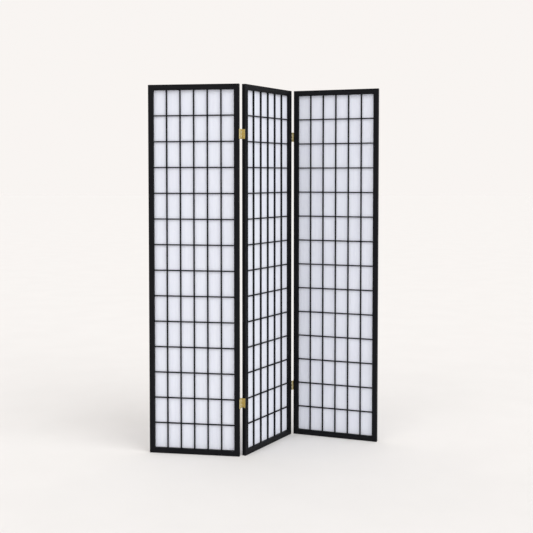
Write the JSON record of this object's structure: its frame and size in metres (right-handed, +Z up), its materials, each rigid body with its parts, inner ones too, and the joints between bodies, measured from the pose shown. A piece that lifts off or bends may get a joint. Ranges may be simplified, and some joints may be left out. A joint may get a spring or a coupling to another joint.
{
  "type": "folding room divider screen",
  "caption": "Free-standing folding screen: framed lattice panels backed with white paper, joined by double-action brass hinges that let each fold go either way.",
  "frame": {"origin": "on the floor, under the middle of the box round the screen as it stands folded at rest", "axes": "+Z up; +Y from the screen's front (the lattice side) to its rear, along the view that shows the zigzag from the front; +X to the right of someone who looks at the front"},
  "size_m": [1.1342, 0.431, 1.784],
  "materials": {
    "black_lacquer": "black satin lacquer over softwood, open grain just showing",
    "paper": "matte white fibre paper, slightly translucent",
    "brass": "brushed brass plate, lightly tarnished",
    "brass_screw": "brass-plated countersunk screw"
  },
  "bodies": {
    "panel_1": {"panel_1_left_stile": "black_lacquer", "panel_1_right_stile": "black_lacquer", "panel_1_top_rail": "black_lacquer", "panel_1_bottom_rail": "black_lacquer", "panel_1_lattice": "black_lacquer", "panel_1_paper": "paper", "fold_1_2_lower_hinge_left_leaf": "brass", "fold_1_2_lower_hinge_left_leaf_lower_screw": "brass_screw", "fold_1_2_lower_hinge_left_leaf_upper_screw": "brass_screw", "fold_1_2_upper_hinge_left_leaf": "brass", "fold_1_2_upper_hinge_left_leaf_lower_screw": "brass_screw", "fold_1_2_upper_hinge_left_leaf_upper_screw": "brass_screw"},
    "panel_2": {"panel_2_left_stile": "black_lacquer", "panel_2_right_stile": "black_lacquer", "panel_2_top_rail": "black_lacquer", "panel_2_bottom_rail": "black_lacquer", "panel_2_lattice": "black_lacquer", "panel_2_paper": "paper", "fold_1_2_lower_hinge_right_leaf": "brass", "fold_1_2_lower_hinge_right_leaf_lower_screw": "brass_screw", "fold_1_2_lower_hinge_right_leaf_upper_screw": "brass_screw", "fold_1_2_upper_hinge_right_leaf": "brass", "fold_1_2_upper_hinge_right_leaf_lower_screw": "brass_screw", "fold_1_2_upper_hinge_right_leaf_upper_screw": "brass_screw", "fold_2_3_lower_hinge_left_leaf": "brass", "fold_2_3_lower_hinge_left_leaf_lower_screw": "brass_screw", "fold_2_3_lower_hinge_left_leaf_upper_screw": "brass_screw", "fold_2_3_upper_hinge_left_leaf": "brass", "fold_2_3_upper_hinge_left_leaf_lower_screw": "brass_screw", "fold_2_3_upper_hinge_left_leaf_upper_screw": "brass_screw"},
    "panel_3": {"panel_3_left_stile": "black_lacquer", "panel_3_right_stile": "black_lacquer", "panel_3_top_rail": "black_lacquer", "panel_3_bottom_rail": "black_lacquer", "panel_3_lattice": "black_lacquer", "panel_3_paper": "paper", "fold_2_3_lower_hinge_right_leaf": "brass", "fold_2_3_lower_hinge_right_leaf_lower_screw": "brass_screw", "fold_2_3_lower_hinge_right_leaf_upper_screw": "brass_screw", "fold_2_3_upper_hinge_right_leaf": "brass", "fold_2_3_upper_hinge_right_leaf_lower_screw": "brass_screw", "fold_2_3_upper_hinge_right_leaf_upper_screw": "brass_screw"},
    "hinge_link_1_2": {"fold_1_2_lower_hinge_middle_leaf": "brass", "fold_1_2_lower_hinge_rear_pin": "brass", "fold_1_2_lower_hinge_front_pin": "brass", "fold_1_2_upper_hinge_middle_leaf": "brass", "fold_1_2_upper_hinge_rear_pin": "brass", "fold_1_2_upper_hinge_front_pin": "brass"},
    "hinge_link_2_3": {"fold_2_3_lower_hinge_middle_leaf": "brass", "fold_2_3_lower_hinge_rear_pin": "brass", "fold_2_3_lower_hinge_front_pin": "brass", "fold_2_3_upper_hinge_middle_leaf": "brass", "fold_2_3_upper_hinge_rear_pin": "brass", "fold_2_3_upper_hinge_front_pin": "brass"}
  },
  "joints": [
    {"name": "fold_1_2_rear_pins", "type": "hinge", "parent": "panel_2", "child": "hinge_link_1_2", "pos_m": [-0.12072, -0.18518, 0.9], "axis": [0, 0, -1], "range_deg": [-67.7, 112.3]},
    {"name": "fold_1_2_front_pins", "type": "hinge", "parent": "hinge_link_1_2", "child": "panel_1", "pos_m": [-0.12503, -0.21184, 0.9], "axis": [0, 0, 1], "range_deg": [0, 100]},
    {"name": "fold_2_3_front_pins", "type": "hinge", "parent": "panel_2", "child": "hinge_link_2_3", "pos_m": [0.13874, 0.18653, 0.9], "axis": [0, 0, -1], "range_deg": [-78.9, 101.1]},
    {"name": "fold_2_3_rear_pins", "type": "hinge", "parent": "hinge_link_2_3", "child": "panel_3", "pos_m": [0.14815, 0.21183, 0.9], "axis": [0, 0, 1], "range_deg": [0, 100]}
  ]
}
